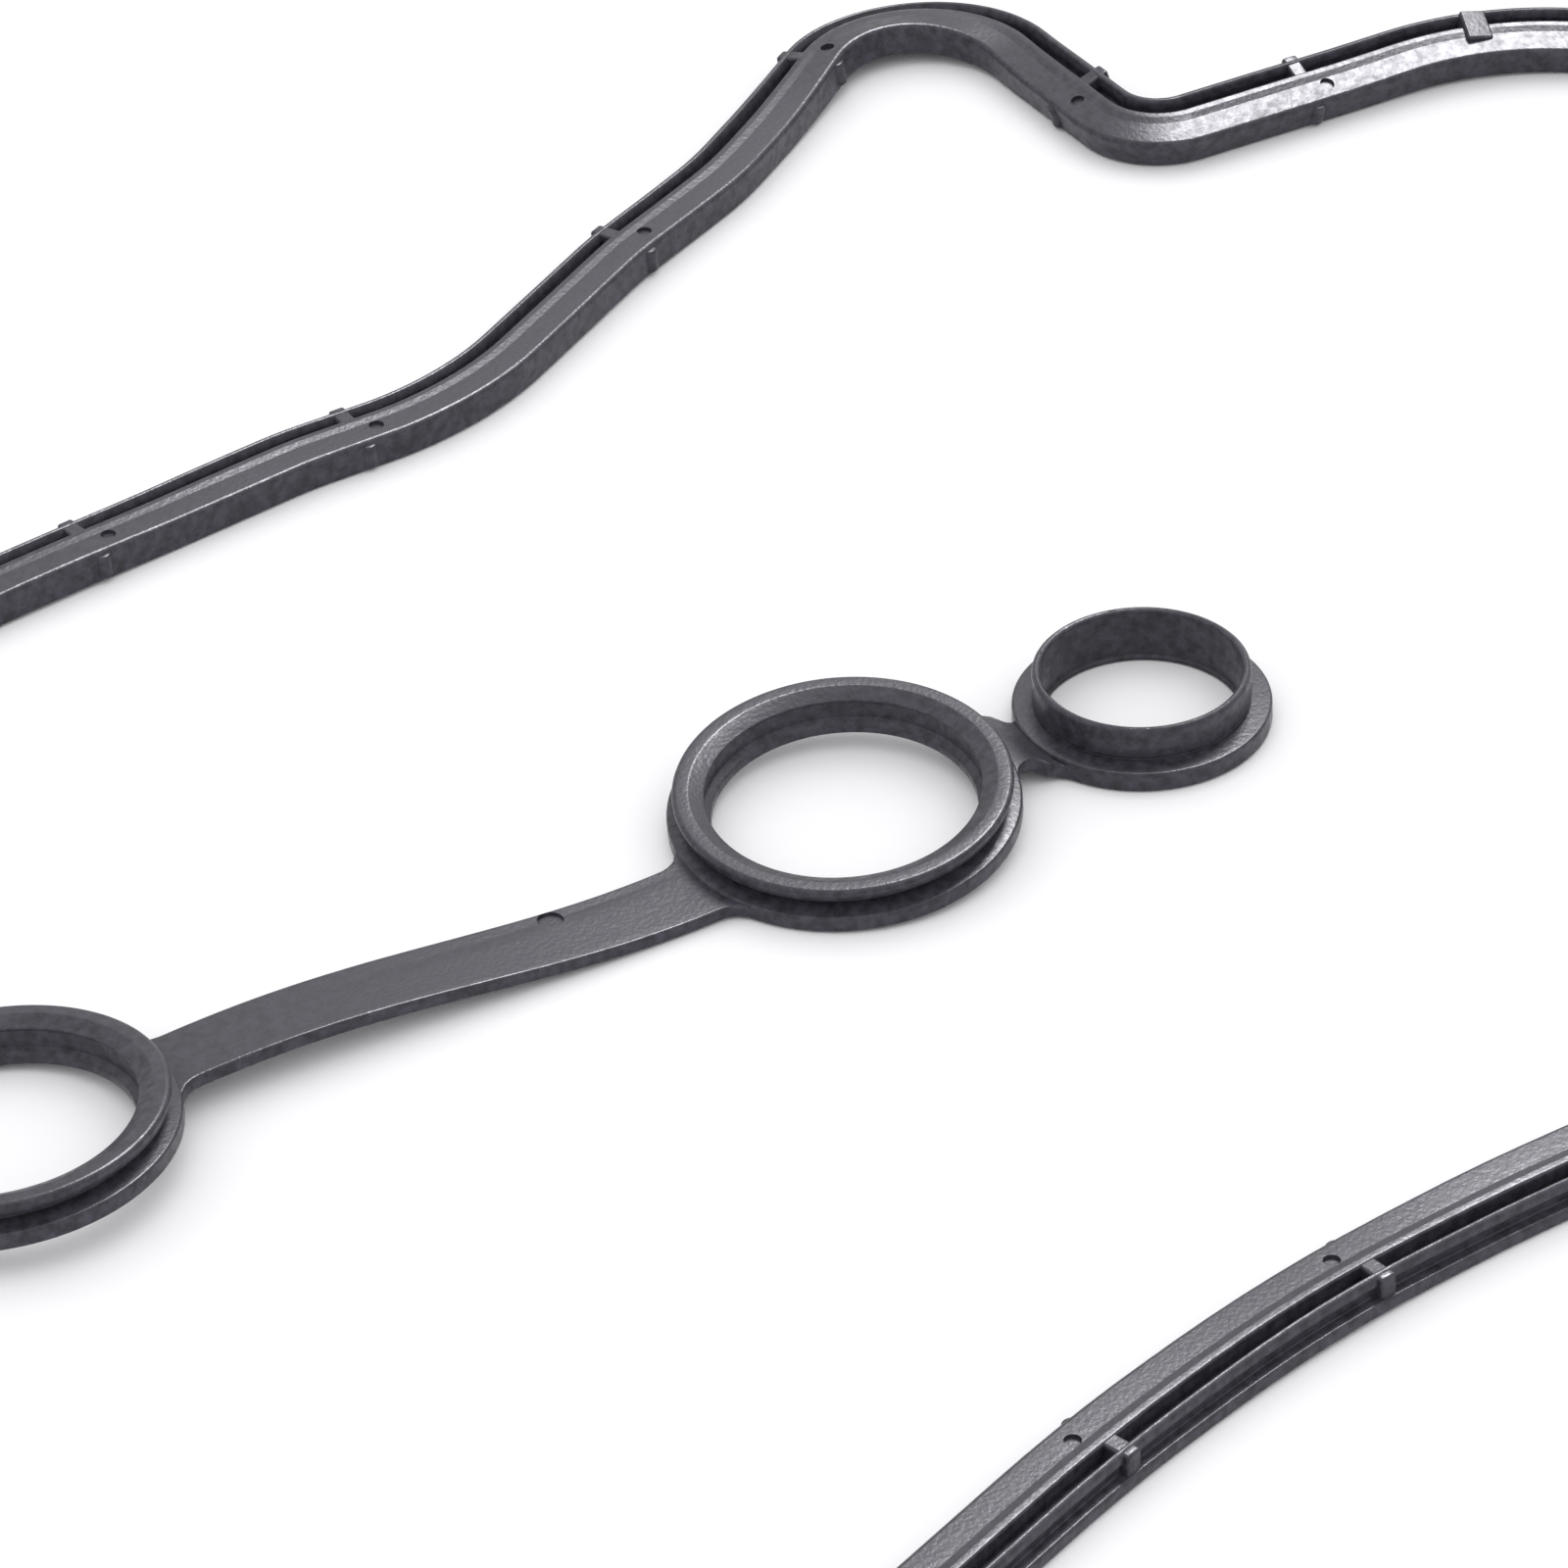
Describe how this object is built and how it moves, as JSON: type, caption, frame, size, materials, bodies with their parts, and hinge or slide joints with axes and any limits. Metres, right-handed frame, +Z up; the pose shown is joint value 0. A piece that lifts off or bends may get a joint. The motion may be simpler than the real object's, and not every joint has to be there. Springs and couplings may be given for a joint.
{
  "type": "valve cover gasket",
  "caption": "One-piece black rubber valve cover gasket: a grooved strip round the edge, with plug-well seals on a chain of straps inside.",
  "frame": {"origin": "middle of the gasket's outline, on the surface that it lies on", "axes": "+X along the chain of seals towards the timing end, +Y towards the intake side, +Z up, out of the grooved side"},
  "size_m": [0.467, 0.2362, 0.0074],
  "materials": {
    "moulded_rubber": "satin"
  },
  "bodies": {
    "root": {"gasket": "moulded_rubber"}
  },
  "joints": []
}
